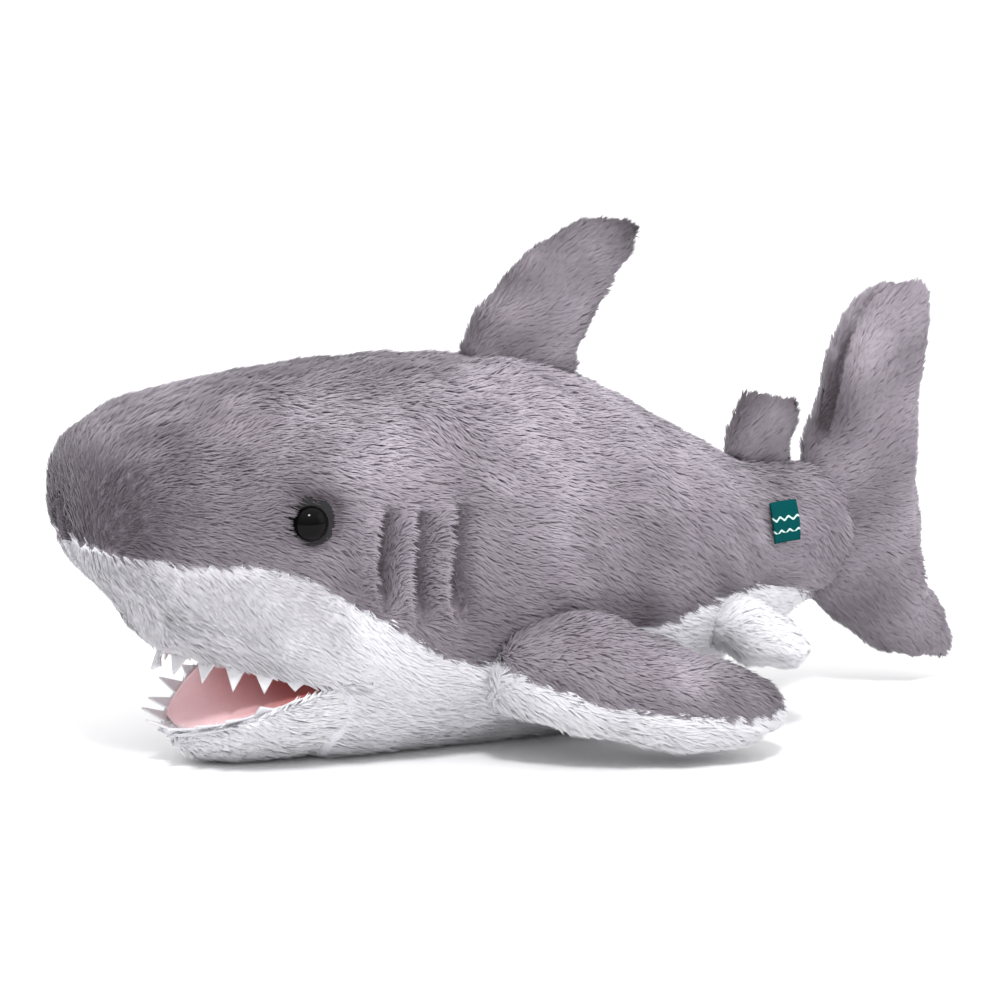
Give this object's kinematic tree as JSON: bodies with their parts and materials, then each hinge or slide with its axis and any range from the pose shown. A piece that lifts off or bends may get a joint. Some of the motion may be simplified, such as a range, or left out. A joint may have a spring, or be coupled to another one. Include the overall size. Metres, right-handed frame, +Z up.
{
  "type": "plush shark",
  "caption": "Stuffed plush shark lying on its belly with an open lined mouth, felt teeth, bead eyes, gill tucks and padded fins that spring back.",
  "frame": {"origin": "centre of the bounding box in plan, on the surface the toy rests on", "axes": "+Z up, -X towards the nose, +X towards the tail, -Y towards the toy's left flank"},
  "size_m": [0.45, 0.2368, 0.2373],
  "materials": {
    "grey_plush": "short dense pile, lilac grey",
    "dark_plush": "short dense pile, darker grey",
    "white_plush": "short dense pile, white",
    "fibre_filling": "loose polyester fibre",
    "white_felt": "cut felt",
    "pink_lining": "short smooth pile, pink",
    "black_felt": "cut felt, black",
    "washer_plastic": "moulded",
    "black_eye": "moulded, polished",
    "teal_label": "woven ribbon"
  },
  "bodies": {
    "body": {"back_panel_left": "grey_plush", "back_panel_right": "grey_plush", "belly_panel": "white_plush", "body_filling": "fibre_filling", "eye_left": "black_eye", "eye_patch_left": "black_felt", "eye_patch_right": "black_felt", "eye_right": "black_eye", "eye_washer_left": "washer_plastic", "eye_washer_right": "washer_plastic", "label": "teal_label", "mouth_roof_lining": "pink_lining", "muzzle_panel_left": "white_plush", "muzzle_panel_right": "white_plush", "upper_teeth": "white_felt"},
    "dorsal_fin": {"dorsal_filling": "fibre_filling", "dorsal_panel_left": "dark_plush", "dorsal_panel_right": "dark_plush"},
    "second_dorsal_fin": {"second_dorsal_filling": "fibre_filling", "second_dorsal_panel_left": "dark_plush", "second_dorsal_panel_right": "dark_plush"},
    "tail_fin": {"tail_filling": "fibre_filling", "tail_panel_left": "grey_plush", "tail_panel_right": "grey_plush"},
    "pectoral_fin_left": {"pectoral_left_filling": "fibre_filling", "pectoral_left_panel_bottom": "white_plush", "pectoral_left_panel_top": "dark_plush"},
    "pectoral_fin_right": {"pectoral_right_filling": "fibre_filling", "pectoral_right_panel_bottom": "white_plush", "pectoral_right_panel_top": "dark_plush"},
    "pelvic_fin_left": {"pelvic_left_filling": "fibre_filling", "pelvic_left_panel_bottom": "white_plush", "pelvic_left_panel_top": "white_plush"},
    "pelvic_fin_right": {"pelvic_right_filling": "fibre_filling", "pelvic_right_panel_bottom": "white_plush", "pelvic_right_panel_top": "white_plush"},
    "jaw": {"jaw_panel": "white_plush", "jaw_filling": "fibre_filling", "mouth_floor_lining": "pink_lining", "lower_teeth": "white_felt"}
  },
  "joints": [
    {"name": "jaw_close", "type": "hinge", "parent": "body", "child": "jaw", "pos_m": [-0.121, 0, 0.0425], "axis": [0, 1, 0], "range_deg": [0, 9], "stiffness_Nm_per_rad": 0.3},
    {"name": "tail_swing", "type": "hinge", "parent": "body", "child": "tail_fin", "pos_m": [0.145, 0, 0.082], "axis": [0, 0, 1], "range_deg": [-25, 25], "stiffness_Nm_per_rad": 0.4},
    {"name": "dorsal_lean", "type": "hinge", "parent": "body", "child": "dorsal_fin", "pos_m": [-0.00608, 0, 0.174], "axis": [0.9727, 0, -0.2323], "range_deg": [-25, 25], "stiffness_Nm_per_rad": 0.15},
    {"name": "second_dorsal_lean", "type": "hinge", "parent": "body", "child": "second_dorsal_fin", "pos_m": [0.11714, 0, 0.11995], "axis": [0.9813, 0, -0.1925], "range_deg": [-20, 20], "stiffness_Nm_per_rad": 0.05},
    {"name": "pectoral_flap_left", "type": "hinge", "parent": "body", "child": "pectoral_fin_left", "pos_m": [-0.018, -0.06604, 0.0325], "axis": [-1, 0, 0], "range_deg": [-6, 20], "stiffness_Nm_per_rad": 0.4},
    {"name": "pectoral_flap_right", "type": "hinge", "parent": "body", "child": "pectoral_fin_right", "pos_m": [-0.018, 0.06604, 0.0325], "axis": [1, 0, 0], "range_deg": [-6, 20], "stiffness_Nm_per_rad": 0.4},
    {"name": "pelvic_flap_left", "type": "hinge", "parent": "body", "child": "pelvic_fin_left", "pos_m": [0.092, -0.05239, 0.044], "axis": [-1, 0, 0], "range_deg": [-15, 30], "stiffness_Nm_per_rad": 0.08},
    {"name": "pelvic_flap_right", "type": "hinge", "parent": "body", "child": "pelvic_fin_right", "pos_m": [0.092, 0.05239, 0.044], "axis": [1, 0, 0], "range_deg": [-15, 30], "stiffness_Nm_per_rad": 0.08}
  ]
}
